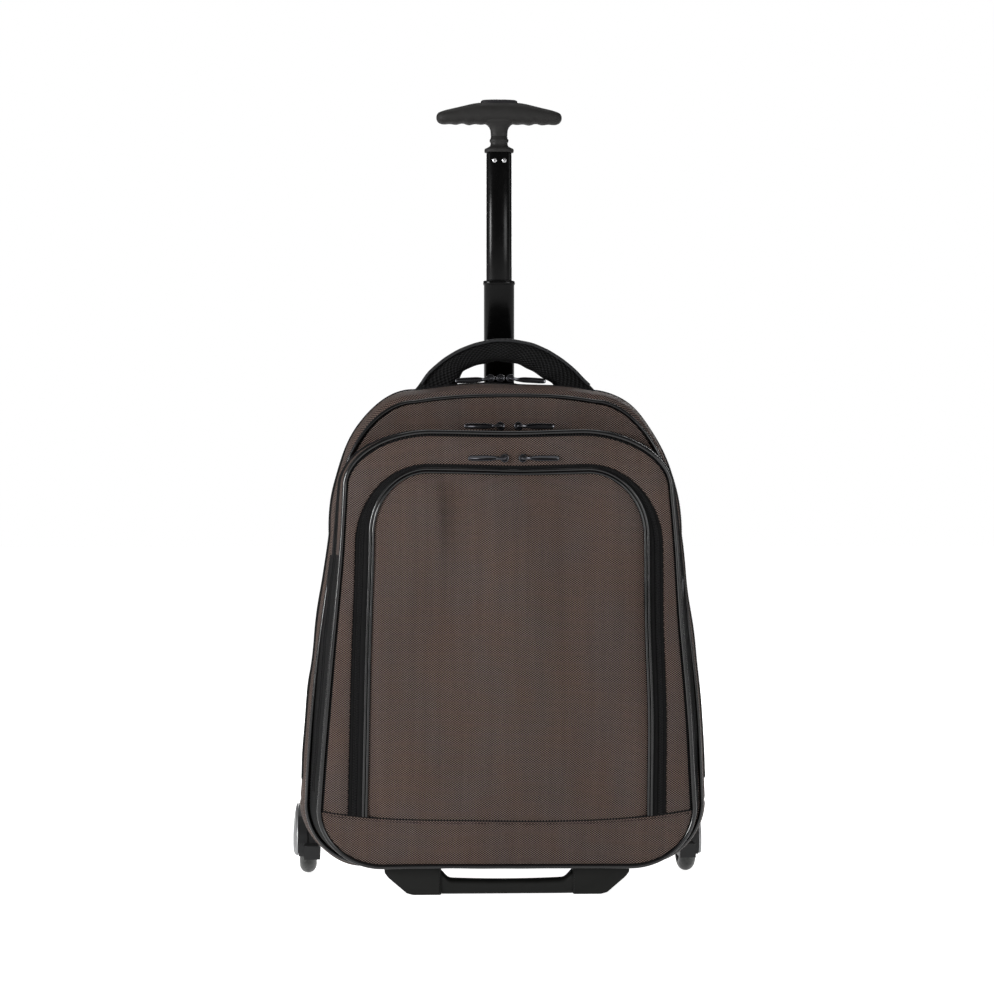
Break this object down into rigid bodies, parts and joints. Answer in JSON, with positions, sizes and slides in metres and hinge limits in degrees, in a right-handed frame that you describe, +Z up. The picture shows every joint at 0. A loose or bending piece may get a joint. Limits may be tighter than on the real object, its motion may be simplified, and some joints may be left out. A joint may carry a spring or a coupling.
{
  "type": "wheeled backpack",
  "caption": "Soft nylon backpack on two wheels, with a telescopic T handle, a padded carry handle, zipped pockets and a moulded foot.",
  "frame": {"origin": "on the floor, at the middle of the whole object's width and depth", "axes": "+Z up, +X to the right seen from the front, and the front faces -Y"},
  "size_m": [0.4098, 0.2456, 0.7714],
  "materials": {
    "nylon": "brown-grey ballistic nylon, dull, with a fine basket weave",
    "black_fabric": "black zip tape and lining cloth, dull",
    "piping": "glossy black cord piping",
    "zip_metal": "glossy black coated metal",
    "handle_mesh": "padded black spacer mesh",
    "back_mesh": "padded black mesh, plain",
    "webbing": "black woven webbing",
    "black_plastic": "moulded black plastic, satin",
    "grey_plastic": "moulded dark grey plastic, satin",
    "soft_grip": "soft dark grey grip",
    "button": "dark grey plastic, satin",
    "tube": "glossy black coated aluminium",
    "steel": "bright steel",
    "silver": "polished silver cover",
    "wheel_rubber": "dark grey polyurethane"
  },
  "bodies": {
    "bag": {"main_shell": "nylon", "main_front_panel": "nylon", "main_piping": "piping", "pocket_gusset": "black_fabric", "pocket_piping": "piping", "pocket_panel": "nylon", "bottom_panel": "nylon", "arch_band": "black_fabric", "arch_piping": "piping", "arch_panel": "nylon", "arch_zip_slider_left": "zip_metal", "arch_zip_slider_right": "zip_metal", "arch_zip_puller_left": "zip_metal", "arch_zip_puller_right": "zip_metal", "pocket_zip_slider_left": "zip_metal", "pocket_zip_slider_right": "zip_metal", "pocket_zip_puller_left": "zip_metal", "pocket_zip_puller_right": "zip_metal", "main_zip_slider_left": "zip_metal", "main_zip_slider_right": "zip_metal", "main_zip_puller_left": "zip_metal", "main_zip_puller_right": "zip_metal", "main_zip_slider_middle": "zip_metal", "side_zip_puller": "zip_metal", "carry_handle": "handle_mesh", "foot_handle": "black_plastic", "trolley_sleeve": "black_plastic", "back_panel": "back_mesh", "axle_left": "steel", "axle_right": "steel", "wheel_housing_left": "grey_plastic", "wheel_housing_right": "grey_plastic", "wheel_cover_left": "silver", "wheel_cover_right": "silver", "shoulder_strap_left": "black_fabric", "shoulder_strap_right": "black_fabric", "strap_webbing_left": "webbing", "strap_webbing_right": "webbing"},
    "lower_stage": {"lower_tube": "tube"},
    "upper_stage": {"upper_tube": "tube", "grip": "soft_grip", "rivet_left": "steel", "rivet_right": "steel"},
    "button": {"grip_button": "button"},
    "wheel_left": {"wheel_tyre_left": "wheel_rubber", "wheel_hub_left": "grey_plastic"},
    "wheel_right": {"wheel_tyre_right": "wheel_rubber", "wheel_hub_right": "grey_plastic"}
  },
  "joints": [
    {"name": "lower_tube_slide", "type": "slide", "parent": "bag", "child": "lower_stage", "axis": [0, 0, 1], "range_m": [-0.096, 0.115]},
    {"name": "upper_tube_slide", "type": "slide", "parent": "lower_stage", "child": "upper_stage", "axis": [0, 0, 1], "range_m": [-0.126, 0.12]},
    {"name": "grip_button_press", "type": "slide", "parent": "upper_stage", "child": "button", "axis": [0, 0, 1], "range_m": [-0.002, 0], "stiffness_N_per_m": 400, "springref_m": 0.001},
    {"name": "wheel_left_turn", "type": "hinge", "parent": "bag", "child": "wheel_left", "pos_m": [-0.18975, 0.086, 0.033], "axis": [1, 0, 0], "continuous": true},
    {"name": "wheel_right_turn", "type": "hinge", "parent": "bag", "child": "wheel_right", "pos_m": [0.18975, 0.086, 0.033], "axis": [1, 0, 0], "continuous": true}
  ]
}
